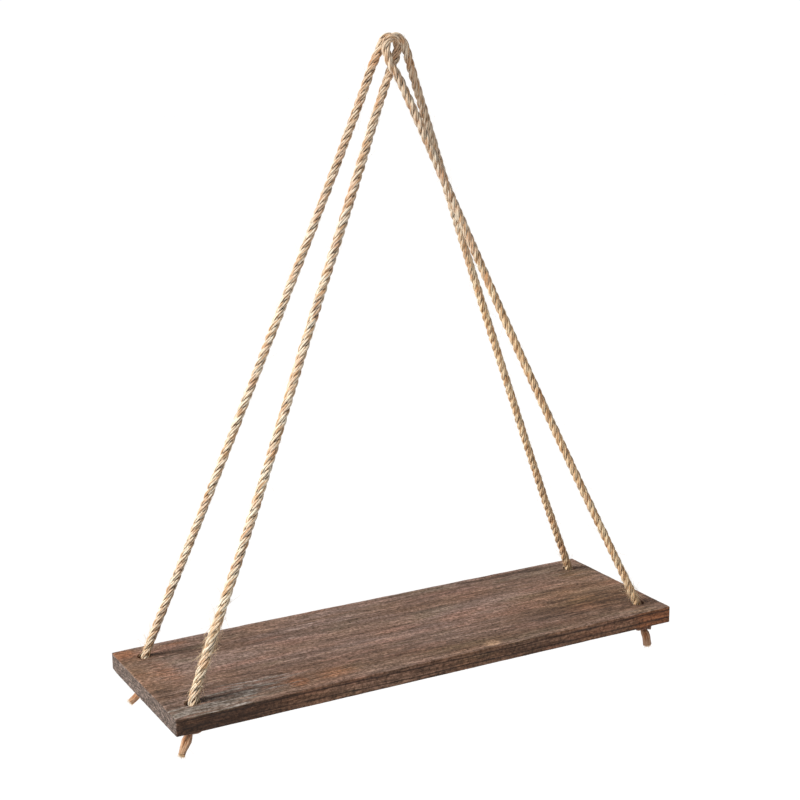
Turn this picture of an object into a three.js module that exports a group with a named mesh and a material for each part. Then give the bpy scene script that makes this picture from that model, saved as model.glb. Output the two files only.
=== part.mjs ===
// A hanging shelf: one stained plank carried by two lengths of twisted jute rope.
//
// Each rope is knotted under a back hole, passes over the nail and is knotted under the front hole of the
// same end, so the plank hangs level from a single point. Millimetres, X along the plank, Y towards the wall,
// Z up, with the origin on the nail's axis, where the ropes turn over it.

import * as THREE from 'three';
import { mergeVertices } from 'three/addons/utils/BufferGeometryUtils.js';

// Plank
const BOARD_LENGTH = 453;
const BOARD_WIDTH = 148;
const BOARD_THICKNESS = 14.5;
const BOARD_TOP = -476.5;
const BOARD_UNDERSIDE = BOARD_TOP - BOARD_THICKNESS;
const CORNER_RADIUS = 1.5;
const EASED_EDGE = 0.7;

// Holes for the ropes, drilled a little nearer the right end than the left
const HOLE_DIAMETER = 11;
const HOLE_FROM_LEFT_END = 21;
const HOLE_FROM_RIGHT_END = 18.5;
const HOLE_FROM_EDGE = 22;
const LEFT_HOLE_X = HOLE_FROM_LEFT_END - BOARD_LENGTH / 2;
const RIGHT_HOLE_X = BOARD_LENGTH / 2 - HOLE_FROM_RIGHT_END;
const HOLE_Y = BOARD_WIDTH / 2 - HOLE_FROM_EDGE;

// Rope: three strands laid right-handed
const STRANDS = 3;
const ROPE_DIAMETER = 7;
const GROOVE_DIAMETER = 5;
const LAY_LENGTH = 22.5;
const RINGS_PER_TURN = 8;
const LEG_STEP = LAY_LENGTH / RINGS_PER_TURN;
const KNOT_STEP = 1.6;

// How far the jute is squeezed: a share of the rope's full size
const SIZE_IN_KNOT = 0.72;
const SIZE_IN_TAIL = 0.84;
const KNOT_DEPTH = 12;
const TAIL_DEPTH = 16;

// Finishes
const WOOD = { color: 0x7b6354, roughness: 0.72, metalness: 0 };
const JUTE = { color: 0xc8a97f, roughness: 0.95, metalness: 0 };

// The stopper knot, an overhand knot pulled up flat against the plank: x and y from the hole's axis, z from
// the underside. The rope comes down the hole, runs once round under itself and passes through its own loop.
const KNOT = [
  [0.9, 0.3, 5.0],
  [1.3, 0.5, -2.5],
  [4.5, 1.7, -5.5],
  [7.6, 3.1, -8.4],
  [9.0, 7.1, -9.6],
  [6.9, 11.1, -10.0],
  [2.6, 12.3, -9.9],
  [-1.2, 10.1, -9.7],
  [-2.3, 5.8, -9.2],
  [-0.7, 1.6, -8.9],
  [1.5, -2.3, -8.3],
  [5.1, -3.9, -6.2],
  [8.6, -2.2, -4.0],
  [10.1, 1.9, -3.2],
  [8.1, 5.8, -3.4],
  [4.8, 7.5, -5.7],
  [3.3, 6.5, -9.8],
];

// How each knot is turned about its hole, in degrees, where its cut end hangs, from the hole's axis and the
// underside, and how far the cut end is bowed away from a straight line halfway along it.
const BACK_LEFT = { x: LEFT_HOLE_X, y: HOLE_Y, turn: 165, end: [-13.8, -2, -21.2], bow: [0, 0, -1.5] };
const FRONT_LEFT = { x: LEFT_HOLE_X, y: -HOLE_Y, turn: 20, end: [-10.7, -3, -24.4], bow: [0, 0.8, -1.4] };
const BACK_RIGHT = { x: RIGHT_HOLE_X, y: HOLE_Y, turn: -38, end: [9, 3, -24], bow: [0, 0, -2] };
const FRONT_RIGHT = { x: RIGHT_HOLE_X, y: -HOLE_Y, turn: -50, end: [8.8, -4, -25.5], bow: [0.8, -0.8, 0] };

// Each rope between its two holes, from the back hole's rim over the nail to the front hole's rim. The legs
// sag a little, and the left rope turns over the nail behind the right one.
const LEFT_RUN = [
  [-204.3, 51.8, -476.5],
  [-199.4, 50.2, -463],
  [-158.0, 40.0, -366],
  [-98.6, 26.0, -224.5],
  [-50.6, 14.8, -109],
  [-23.6, 8.2, -41],
  [-13.7, 5.4, -14.5],
  [-8.8, 4.4, -4.4],
  [-4.8, 4.0, 3.5],
  [0.6, 3.9, 6.0],
  [5.5, 3.9, 3.4],
  [7.2, 3.8, -1.8],
  [5.6, 3.2, -7.5],
  [3.0, 2.4, -13.2],
  [-1.6, 1.3, -21.5],
  [-10.8, -1.0, -40.6],
  [-40.2, -9.0, -108],
  [-89.0, -21.6, -217.6],
  [-145.6, -36.8, -347],
  [-199.3, -50.4, -463],
  [-204.3, -51.7, -476.5],
];
const RIGHT_RUN = [
  [206.8, 51.8, -476.5],
  [201.1, 50.2, -463],
  [169.0, 41.8, -391],
  [119.6, 28.2, -274],
  [74.4, 15.4, -165],
  [25.1, 1.0, -41.8],
  [14.0, -2.4, -13.2],
  [10.6, -3.4, -4.0],
  [6.6, -3.9, 3.2],
  [0.6, -4.0, 6.0],
  [-5.2, -4.0, 3.4],
  [-7.4, -4.2, -1.5],
  [-6.3, -4.9, -8.2],
  [-3.8, -5.6, -15],
  [0.8, -6.4, -22.5],
  [9.6, -8.3, -41],
  [40.4, -15.6, -112],
  [94.4, -27.8, -236],
  [149.5, -39.8, -356],
  [200.1, -50.4, -462],
  [206.8, -51.7, -476.5],
];

// The plank seen from above, with its corners rounded and its four holes open.
function boardOutline() {
  const x = BOARD_LENGTH / 2;
  const y = BOARD_WIDTH / 2;
  const r = CORNER_RADIUS;
  const outline = new THREE.Shape();
  outline.moveTo(-x + r, -y);
  outline.lineTo(x - r, -y);
  outline.absarc(x - r, -y + r, r, -Math.PI / 2, 0);
  outline.lineTo(x, y - r);
  outline.absarc(x - r, y - r, r, 0, Math.PI / 2);
  outline.lineTo(-x + r, y);
  outline.absarc(-x + r, y - r, r, Math.PI / 2, Math.PI);
  outline.lineTo(-x, -y + r);
  outline.absarc(-x + r, -y + r, r, Math.PI, 1.5 * Math.PI);
  for (const hole of [BACK_LEFT, FRONT_LEFT, BACK_RIGHT, FRONT_RIGHT]) {
    const rim = new THREE.Path();
    rim.absarc(hole.x, hole.y, HOLE_DIAMETER / 2, 0, 2 * Math.PI, true);
    outline.holes.push(rim);
  }
  return outline;
}

// One plank, its sharp edges eased and the rims of its holes broken by the same amount.
function board() {
  const geometry = new THREE.ExtrudeGeometry(boardOutline(), {
    depth: BOARD_THICKNESS - 2 * EASED_EDGE,
    bevelThickness: EASED_EDGE,
    bevelSize: EASED_EDGE,
    bevelOffset: -EASED_EDGE,
    bevelSegments: 1,
    curveSegments: 6,
  });
  geometry.translate(0, 0, BOARD_UNDERSIDE + EASED_EDGE);
  return geometry;
}

// Three strands side by side, seen along the rope: far out on a strand, further in between two.
function ropeSection() {
  const outline = [];
  for (let i = 0; i < 2 * STRANDS; i += 1) {
    const reach = (i % 2 === 0 ? ROPE_DIAMETER : GROOVE_DIAMETER) / 2;
    const angle = (i * Math.PI) / STRANDS;
    outline.push(new THREE.Vector2(reach * Math.cos(angle), reach * Math.sin(angle)));
  }
  return new THREE.Shape(outline);
}

// The knot's points under one hole, from the hole down to the rope's cut end.
function knotRoute(hole) {
  const axis = new THREE.Vector3(0, 0, 1);
  const turn = THREE.MathUtils.degToRad(hole.turn);
  const place = new THREE.Vector3(hole.x, hole.y, BOARD_UNDERSIDE);
  const route = KNOT.map((p) => new THREE.Vector3(...p).applyAxisAngle(axis, turn).add(place));
  const exit = route[route.length - 1];
  const end = new THREE.Vector3(...hole.end).add(place);
  const middle = exit.clone().lerp(end, 0.5).add(new THREE.Vector3(...hole.bow));
  return [...route, middle, end];
}

// The whole centre line of one rope: cut end, knot, run over the nail, knot, cut end.
function ropeRoute(back, run, front) {
  const points = [
    ...knotRoute(back).reverse(),
    ...run.map((p) => new THREE.Vector3(...p)),
    ...knotRoute(front),
  ];
  const route = new THREE.CatmullRomCurve3(points, false, 'centripetal');
  route.arcLengthDivisions = 6000;
  return route;
}

// The rope's size at a height: full above the plank, squeezed through the hole and in the knot, and opening
// again in the cut end.
function sizeAt(z) {
  const depth = BOARD_UNDERSIDE - z;
  const squeeze = THREE.MathUtils.smoothstep(depth, -BOARD_THICKNESS, 0);
  const release = THREE.MathUtils.smoothstep(depth, KNOT_DEPTH, TAIL_DEPTH);
  return THREE.MathUtils.lerp(1, SIZE_IN_KNOT, squeeze) + (SIZE_IN_TAIL - SIZE_IN_KNOT) * release;
}

// Cross-sections along the route: short steps in the knots, where the rope turns sharply, and eight to a
// turn of the strands elsewhere. Each is carried on from the last without spinning, then turned by the lay.
function ropeRings(route) {
  const length = route.getLength();
  const rings = [];
  let along = 0;
  let across = new THREE.Vector3(0, 1, 0);
  while (along < length) {
    const centre = route.getPointAt(along / length);
    const tangent = route.getTangentAt(along / length);
    across = across.clone().projectOnPlane(tangent).normalize();
    const turn = (2 * Math.PI * along) / LAY_LENGTH;
    const first = across.clone().applyAxisAngle(tangent, turn);
    const second = new THREE.Vector3().crossVectors(tangent, first);
    rings.push({ centre, first, second, size: sizeAt(centre.z) });
    along += centre.z < BOARD_TOP ? KNOT_STEP : LEG_STEP;
  }
  return rings;
}

// One rope: the straight three-strand bar, one step to a ring, carried onto the rings.
function rope(route) {
  const rings = ropeRings(route);
  const last = rings.length - 1;
  const bar = new THREE.ExtrudeGeometry(ropeSection(), { depth: last, steps: last, bevelEnabled: false });
  const position = bar.attributes.position;
  for (let i = 0; i < position.count; i += 1) {
    const ring = rings[Math.round(position.getZ(i))];
    const point = ring.centre.clone()
      .addScaledVector(ring.first, position.getX(i) * ring.size)
      .addScaledVector(ring.second, position.getY(i) * ring.size);
    position.setXYZ(i, point.x, point.y, point.z);
  }
  return bar;
}

// A named piece, with its shared corners joined into one closed body.
function piece(name, geometry, finish) {
  geometry.deleteAttribute('normal');
  geometry.deleteAttribute('uv');
  const body = mergeVertices(geometry, 1e-4);
  body.computeVertexNormals();
  const mesh = new THREE.Mesh(body, new THREE.MeshStandardMaterial(finish));
  mesh.name = name;
  return mesh;
}

const group = new THREE.Group();
group.add(piece('board', board(), WOOD));
group.add(piece('rope_left', rope(ropeRoute(BACK_LEFT, LEFT_RUN, FRONT_LEFT)), JUTE));
group.add(piece('rope_right', rope(ropeRoute(BACK_RIGHT, RIGHT_RUN, FRONT_RIGHT)), JUTE));

export default group;
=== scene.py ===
# %% [markdown]
# # A hanging shelf of stained wood and jute rope
#
# The object is one plank that hangs level from a single nail. Two ropes carry it: each is knotted under a
# back hole, goes up over the nail and comes down to a knot under the front hole of the same end. This
# lesson dresses the measured model in Blender: first the camera and the ropes, then the plank, then the
# light.
#
# Everything is in metres, in the frame of the measured model, with the origin on the nail. The numbers
# below are written in millimetres, as they would be on a drawing, and turned into metres when a mesh is
# made.

import bpy
import numpy as np
from mathutils import Matrix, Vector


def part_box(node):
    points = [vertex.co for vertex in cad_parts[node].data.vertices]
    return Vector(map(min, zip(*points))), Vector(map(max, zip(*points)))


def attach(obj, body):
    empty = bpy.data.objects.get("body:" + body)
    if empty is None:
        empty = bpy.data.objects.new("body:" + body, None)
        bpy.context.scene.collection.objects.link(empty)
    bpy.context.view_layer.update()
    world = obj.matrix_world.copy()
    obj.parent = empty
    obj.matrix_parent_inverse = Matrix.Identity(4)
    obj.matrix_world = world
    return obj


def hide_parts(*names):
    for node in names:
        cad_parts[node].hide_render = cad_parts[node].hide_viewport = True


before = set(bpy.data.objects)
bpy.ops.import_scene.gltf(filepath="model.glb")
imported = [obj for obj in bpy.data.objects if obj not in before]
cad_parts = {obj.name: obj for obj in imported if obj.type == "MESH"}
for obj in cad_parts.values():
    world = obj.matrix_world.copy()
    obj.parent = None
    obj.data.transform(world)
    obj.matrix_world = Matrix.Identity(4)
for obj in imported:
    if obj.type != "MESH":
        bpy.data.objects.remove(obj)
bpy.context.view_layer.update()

MM = 0.001

# %% [markdown]
# ## The camera
#
# A camera could be placed by eye. Here its place, direction and focal length were worked out from the
# plank's corners in the photograph, so the render can be laid over it. The directions are built from an
# azimuth, an angle downwards and a small roll, and become the columns of the camera's matrix.

# %% Camera
CAMERA_PLACE = np.array([-585.9, -1084.4, 12.6]) * MM
AZIMUTH, DOWNWARDS, ROLL = np.radians([-28.52, 13.36, -0.71])
FOCAL_LENGTH = 70.56
SENSOR = 36.0

backward = np.array([
    np.sin(AZIMUTH) * np.cos(DOWNWARDS),
    -np.cos(AZIMUTH) * np.cos(DOWNWARDS),
    np.sin(DOWNWARDS),
])
level = np.array([np.cos(AZIMUTH), np.sin(AZIMUTH), 0.0])
upward = np.cross(backward, level)
camera_matrix = np.eye(4)
camera_matrix[:3, 0] = np.cos(ROLL) * level + np.sin(ROLL) * upward
camera_matrix[:3, 1] = np.cos(ROLL) * upward - np.sin(ROLL) * level
camera_matrix[:3, 2] = backward
camera_matrix[:3, 3] = CAMERA_PLACE

camera = bpy.data.objects.new("camera", bpy.data.cameras.new("camera"))
camera.data.lens = FOCAL_LENGTH
camera.data.sensor_width = SENSOR
camera.data.clip_start = 0.05
camera.data.clip_end = 60.0
camera.matrix_world = Matrix(camera_matrix.tolist())
bpy.context.scene.collection.objects.link(camera)
bpy.context.scene.camera = camera
print("camera", np.round(CAMERA_PLACE, 3), "looking", np.round(-backward, 3))

# %% [markdown]
# ## The ropes' routes
#
# A rope has a fixed length and lies where gravity and its knots leave it. Its route could be drawn by
# hand as a Blender curve. Here it is a short table of points, the same ones as in the measured model: the
# legs sag a little, the top turns over the nail, and the same stopper knot is used four times, turned
# about each hole.

# %% The plank's faces and holes, from the measured model
board_low, board_high = (np.round(np.array(corner) / MM, 2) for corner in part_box("board"))
HALF_LENGTH, HALF_WIDTH, BOARD_TOP = board_high.tolist()
UNDERSIDE = board_low.tolist()[2]
THICKNESS = BOARD_TOP - UNDERSIDE
HOLE_FROM_LEFT_END = 21.0
HOLE_FROM_RIGHT_END = 18.5
HOLE_FROM_EDGE = 22.0
LEFT_HOLE_X = HOLE_FROM_LEFT_END - HALF_LENGTH
RIGHT_HOLE_X = HALF_LENGTH - HOLE_FROM_RIGHT_END
HOLE_Y = HALF_WIDTH - HOLE_FROM_EDGE
print("plank from", board_low, "to", board_high, "mm")

# %% Points of the knots and of the runs between the holes
STOPPER_KNOT = np.array([
    [0.9, 0.3, 5.0], [1.3, 0.5, -2.5], [4.5, 1.7, -5.5], [7.6, 3.1, -8.4], [9.0, 7.1, -9.6],
    [6.9, 11.1, -10.0], [2.6, 12.3, -9.9], [-1.2, 10.1, -9.7], [-2.3, 5.8, -9.2], [-0.7, 1.6, -8.9],
    [1.5, -2.3, -8.3], [5.1, -3.9, -6.2], [8.6, -2.2, -4.0], [10.1, 1.9, -3.2], [8.1, 5.8, -3.4],
    [4.8, 7.5, -5.7], [3.3, 6.5, -9.8],
])
LEFT_RUN = np.array([
    [-204.3, 51.8, -476.5], [-199.4, 50.2, -463], [-158.0, 40.0, -366], [-98.6, 26.0, -224.5],
    [-50.6, 14.8, -109], [-23.6, 8.2, -41], [-13.7, 5.4, -14.5], [-8.8, 4.4, -4.4], [-4.8, 4.0, 3.5],
    [0.6, 3.9, 6.0], [5.5, 3.9, 3.4], [7.2, 3.8, -1.8], [5.6, 3.2, -7.5], [3.0, 2.4, -13.2],
    [-1.6, 1.3, -21.5], [-10.8, -1.0, -40.6], [-40.2, -9.0, -108], [-89.0, -21.6, -217.6],
    [-145.6, -36.8, -347], [-199.3, -50.4, -463], [-204.3, -51.7, -476.5],
])
RIGHT_RUN = np.array([
    [206.8, 51.8, -476.5], [201.1, 50.2, -463], [169.0, 41.8, -391], [119.6, 28.2, -274],
    [74.4, 15.4, -165], [25.1, 1.0, -41.8], [14.0, -2.4, -13.2], [10.6, -3.4, -4.0], [6.6, -3.9, 3.2],
    [0.6, -4.0, 6.0], [-5.2, -4.0, 3.4], [-7.4, -4.2, -1.5], [-6.3, -4.9, -8.2], [-3.8, -5.6, -15],
    [0.8, -6.4, -22.5], [9.6, -8.3, -41], [40.4, -15.6, -112], [94.4, -27.8, -236],
    [149.5, -39.8, -356], [200.1, -50.4, -462], [206.8, -51.7, -476.5],
])


def knot_under(x, y, turn, cut_end, bow):
    """The stopper knot turned about its hole's axis, by an angle in degrees, and moved under the hole, then
    a point halfway to the cut end, bowed away from the straight line, then the cut end itself."""
    c, s = np.cos(np.radians(turn)), np.sin(np.radians(turn))
    place = np.array([x, y, UNDERSIDE])
    knot = STOPPER_KNOT @ np.array([[c, s, 0], [-s, c, 0], [0, 0, 1]]) + place
    end = place + cut_end
    return np.vstack([knot, (knot[-1] + end) / 2 + bow, end])


left_points = np.vstack([
    knot_under(LEFT_HOLE_X, HOLE_Y, turn=165, cut_end=[-13.8, -2, -21.2], bow=[0, 0, -1.5])[::-1],
    LEFT_RUN,
    knot_under(LEFT_HOLE_X, -HOLE_Y, turn=20, cut_end=[-10.7, -3, -24.4], bow=[0, 0.8, -1.4]),
])
right_points = np.vstack([
    knot_under(RIGHT_HOLE_X, HOLE_Y, turn=-38, cut_end=[9, 3, -24], bow=[0, 0, -2])[::-1],
    RIGHT_RUN,
    knot_under(RIGHT_HOLE_X, -HOLE_Y, turn=-50, cut_end=[8.8, -4, -25.5], bow=[0.8, -0.8, 0]),
])
print("points on each rope:", len(left_points), len(right_points))

# %% Smooth curves through the points
POINTS_PER_SPAN = 80
SHORT_STEP = 0.7
LONG_STEP = 1.3
NEAR_PLANK = 4.0
NEAR_NAIL = 24.0


def lengths_along(path):
    """The distance walked from the first point to each point."""
    steps = np.linalg.norm(np.diff(path, axis=0), axis=1)
    return np.concatenate([[0.0], np.cumsum(steps)])


def smooth_curve(points):
    """A centripetal Catmull-Rom curve. Each span is a cubic from one point to the next, and its slopes there
    come from the neighbours, each weighed by the square root of its distance."""
    p = np.vstack([2 * points[0] - points[1], points, 2 * points[-1] - points[-2]])
    root = np.sqrt(np.linalg.norm(np.diff(p, axis=0), axis=1))[:, None]
    before, here, after = root[:-2], root[1:-1], root[2:]
    a, b, c, d = p[:-3], p[1:-2], p[2:-1], p[3:]
    leaving = ((b - a) / before - (c - a) / (before + here) + (c - b) / here) * here
    arriving = ((c - b) / here - (d - b) / (here + after) + (d - c) / after) * here
    t = np.arange(POINTS_PER_SPAN)[:, None, None] / POINTS_PER_SPAN
    curve = b + leaving * t + (3 * (c - b) - 2 * leaving - arriving) * t**2
    curve = curve + (2 * (b - c) + leaving + arriving) * t**3
    return np.vstack([curve.transpose(1, 0, 2).reshape(-1, 3), points[-1]])


def walked(curve):
    """The curve cut anew in short steps where the rope bends, under the plank and at the nail, and in longer
    steps on the straight legs."""
    z = (curve[1:, 2] + curve[:-1, 2]) / 2
    step = np.where((z < BOARD_TOP + NEAR_PLANK) | (z > -NEAR_NAIL), SHORT_STEP, LONG_STEP)
    count = np.concatenate([[0.0], np.cumsum(np.diff(lengths_along(curve)) / step)])
    even = np.linspace(0, count[-1], int(count[-1]) + 1)
    return np.stack([np.interp(even, count, curve[:, k]) for k in range(3)], axis=1)


left_path = walked(smooth_curve(left_points))
right_path = walked(smooth_curve(right_points))
for name, path in (("left", left_path), ("right", right_path)):
    print(name, "rope:", round(lengths_along(path)[-1], 1), "mm in", len(path), "rings")

# %% [markdown]
# ## Three strands laid into a rope
#
# The rope has three strands laid right-handed, one turn every 22.5 mm. A quick way is a plain tube with a
# bump map, but then the outline stays straight. Here each strand is a tube of its own that winds round
# the rope's route, so the outline, the shadows and the joints between the strands are real.
#
# Each strand is itself spun from five thick yarns that twist the other way. Its cross-section is a circle
# with five rounded ridges, and the section turns backwards along the strand, so each ridge is one yarn.
# The strands are pressed together in the rope, so their circles overlap.

# %% The rope's own sizes
LAY_LENGTH = 22.5
STRANDS = 3
STRAND_RADIUS = 1.92
STRAND_OFFSET = 1.58
YARNS = 5
SIDES_PER_YARN = 5
RIDGE_HEIGHT = 0.27
YARN_TURN = 25.0
print(STRANDS, "strands of", YARNS, "yarns, one turn every", LAY_LENGTH, "mm")

# %% Helpers: directions along a path and seeded waviness


def unit(vectors):
    """Each vector divided by its own length."""
    return vectors / np.linalg.norm(vectors, axis=-1, keepdims=True)


def carried_directions(path):
    """The tangent at each point and two directions square to it that never spin about the path: each is the
    last one made square to the next tangent."""
    tangent = unit(np.gradient(path, axis=0))
    across = np.empty_like(path)
    last = np.array([0.0, 1.0, 0.0])
    for i, direction in enumerate(tangent):
        last = last - direction * (last @ direction)
        last = last / np.linalg.norm(last)
        across[i] = last
    return tangent, across, np.cross(tangent, across)


def waves(u, v, seed):
    """Smooth waviness from -1 to 1: random numbers on a square lattice, joined by an S-shaped blend."""
    table = np.random.default_rng(seed).uniform(-1, 1, (256, 256))
    u, v = np.broadcast_arrays(np.asarray(u, float), np.asarray(v, float))
    i, j = np.floor(u).astype(int), np.floor(v).astype(int)
    s, t = u - i, v - j
    s, t = s * s * (3 - 2 * s), t * t * (3 - 2 * t)
    a, b = table[i % 256, j % 256], table[(i + 1) % 256, j % 256]
    c, d = table[i % 256, (j + 1) % 256], table[(i + 1) % 256, (j + 1) % 256]
    return (a * (1 - s) + b * s) * (1 - t) + (c * (1 - s) + d * s) * t


def eased(value, start, end):
    """0 before start, 1 after end, and an S-shaped rise between them."""
    t = np.clip((value - start) / (end - start), 0, 1)
    return t * t * (3 - 2 * t)


print("halfway through its rise, an eased value is", eased(5.0, 0, 10))

# %% Helpers: meshes from arrays


def make_mesh(name, points, quads, triangles, uv=None, attributes=()):
    """A mesh object from arrays: points in mm, corner numbers, a UV for each face's corner, and values or
    colours for each point."""
    mesh = bpy.data.meshes.new(name)
    mesh.from_pydata((points * MM).tolist(), [], quads.tolist() + triangles.tolist())
    mesh.polygons.foreach_set("use_smooth", np.ones(len(mesh.polygons), bool))
    if uv is not None:
        mesh.uv_layers.new(name="UVMap").data.foreach_set("uv", uv.astype(np.float32).ravel())
    for label, values in dict(attributes).items():
        kind, key = ("FLOAT_COLOR", "color") if values.ndim == 2 else ("FLOAT", "value")
        layer = mesh.attributes.new(label, kind, "POINT")
        layer.data.foreach_set(key, values.astype(np.float32).ravel())
    mesh.update()
    piece = bpy.data.objects.new(name, mesh)
    bpy.context.scene.collection.objects.link(piece)
    return piece


def closed_tubes(grid, along=None):
    """Faces of a batch of tubes. The grid is tubes x rings x sides x 3, and each end is closed by a fan
    round its middle point. UVs run round the tube in u, from k to k + 1 on tube k, and along it, in mm, in
    v."""
    tubes, rings, sides = grid.shape[:3]
    ring_points = grid.reshape(-1, 3)
    ends = grid[:, [0, -1]].mean(axis=2).reshape(-1, 3)
    index = np.arange(tubes * rings * sides).reshape(tubes, rings, sides)
    after = np.roll(index, -1, axis=2)
    quads = np.stack([index[:, :-1], after[:, :-1], after[:, 1:], index[:, 1:]], -1).reshape(-1, 4)
    first = np.broadcast_to((len(ring_points) + 2 * np.arange(tubes))[:, None], (tubes, sides))
    start_fan = np.stack([first, after[:, 0], index[:, 0]], -1).reshape(-1, 3)
    end_fan = np.stack([first + 1, index[:, -1], after[:, -1]], -1).reshape(-1, 3)
    triangles = np.concatenate([start_fan, end_fan])
    uv = None
    if along is not None:
        u = np.arange(tubes)[:, None, None] + np.arange(sides) / sides + np.zeros((tubes, rings - 1, sides))
        low = np.broadcast_to(along[:-1, None], u.shape)
        high = np.broadcast_to(along[1:, None], u.shape)
        corners = [(u, low), (u + 1 / sides, low), (u + 1 / sides, high), (u, high)]
        quad_uv = np.stack([np.stack(c, -1) for c in corners], -2).reshape(-1, 2)
        uv = np.concatenate([quad_uv, np.zeros((3 * len(triangles), 2))])
    return np.vstack([ring_points, ends]), quads, triangles, uv


# %% [markdown]
# ## How thick the rope is
#
# Jute rope isn't equally thick all along. It is squeezed where it goes through a hole and is pulled into
# a knot, and it opens again in the cut end. The left rope's front leg is also laid a little thicker than
# the other three. Scaling a whole tube by hand, ring by ring, would do it. Here its size is a function of
# how deep a point lies under the plank, and one more of how near it is to a cut end.

# %% The rope's size along its length
SIZE_IN_KNOT = 0.72
SIZE_IN_TAIL = 0.84
KNOT_DEPTH = 12.0
TAIL_DEPTH = 16.0
NECK_FROM_CUT = 12.0
CUT_END_LENGTH = 20.0


def rope_size(z):
    """A share of the full size: 1 above the plank, squeezed through the hole and in the knot, and opening
    again in the cut end."""
    depth = UNDERSIDE - z
    squeezed = 1 + (SIZE_IN_KNOT - 1) * eased(depth, -THICKNESS, 0)
    return squeezed + (SIZE_IN_TAIL - SIZE_IN_KNOT) * eased(depth, KNOT_DEPTH, TAIL_DEPTH)


def cut_end_shares(along, cut, neck):
    """How much the last stretch before a cut end swells or shrinks: from 1 in the knot to the neck's share a
    little before the end and the cut's share at the end itself."""
    return np.interp(along, [0, NECK_FROM_CUT, CUT_END_LENGTH], [cut, neck, 1.0])


def on_front_leg(path):
    """1 on the leg that comes down in front, from 90 mm below the nail to the plank, and 0 elsewhere."""
    _, y, z = path.T
    return eased(-y, 0, 8) * eased(-z, 20, 90) * eased(z, UNDERSIDE, BOARD_TOP)


print("size in the knot", SIZE_IN_KNOT, "and in a cut end", rope_size(UNDERSIDE - TAIL_DEPTH))

# %% One strand
LOST_TWIST = 0.75
PRESSED_CLOSER = 0.3
PRESSED_WIDER = 0.22
SPLAY = 0.12
SPLAY_REACH = 2.2


def strand_grid(path, turn, cuts, front_swell, seed):
    """One strand as a grid of points. Its middle stands off the route by a fixed distance, in a direction
    that turns once a lay length. Its section is a circle with a ridge for each yarn, turned backwards
    along the strand and a little thicker and thinner by seeded waves. The front leg may be laid thicker by
    a share. In the cut ends the strands are pressed into one bundle, which has lost most of its twist."""
    along = lengths_along(path)
    to_end = np.minimum(along, along[-1] - along)
    tangent, across, over = carried_directions(path)
    size = rope_size(path[:, 2]) * (1 + front_swell * on_front_leg(path))
    size = size * cut_end_shares(along, *cuts[0]) * cut_end_shares(along[-1] - along, *cuts[1])
    pressed = eased(UNDERSIDE - path[:, 2], KNOT_DEPTH - 1, TAIL_DEPTH - 1)
    twisted = np.cumsum(np.gradient(along) * (1 - LOST_TWIST * pressed))
    angle = 2 * np.pi * twisted / LAY_LENGTH + turn
    outward = np.cos(angle)[:, None] * across + np.sin(angle)[:, None] * over
    splay = (1 - PRESSED_CLOSER * pressed) * (1 + SPLAY * np.exp(-to_end / SPLAY_REACH))
    slub = 1 + 0.035 * waves(along / 9, 0, seed) + 0.02 * waves(along / 3.1, 7, seed)
    middle = path + outward * (STRAND_OFFSET * size * splay)[:, None]
    forward = unit(np.gradient(middle, axis=0))
    sideways = unit(np.cross(forward, outward))
    outward = np.cross(sideways, forward)

    sides = YARNS * SIDES_PER_YARN
    around = 2 * np.pi * np.arange(sides)[None, :] / sides
    spin = -2 * np.pi * twisted[:, None] / YARN_TURN
    yarn = np.arange(sides)[None, :] // SIDES_PER_YARN
    crest = np.abs(np.sin(YARNS * around / 2)) * np.ones_like(spin)
    ridge = RIDGE_HEIGHT * (crest - 0.75) + 0.03 * waves(along[:, None] / 6, yarn * 1.7, seed + 1)
    radius = STRAND_RADIUS * (size * slub * (1 + PRESSED_WIDER * pressed))[:, None] * (1 + ridge)
    x = radius * np.cos(around + spin)
    y = radius * np.sin(around + spin)
    grid = middle[:, None] + outward[:, None] * x[..., None] + sideways[:, None] * y[..., None]
    # Painted shade, partly dirt: a point is darker the more it faces into the rope, between the strands, and
    # the deeper it lies between two yarns.
    inside = 0.5 - 0.5 * np.cos(around + spin)
    joint_shade_share = np.maximum(inside, 0.62 * (1 - crest) ** 1.3) * (1 - 0.45 * pressed)[:, None]
    return grid, joint_shade_share


print("a strand's ring has", YARNS * SIDES_PER_YARN, "points")

# %% The two ropes
FRONT_LEG_SWELL = 0.09


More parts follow.
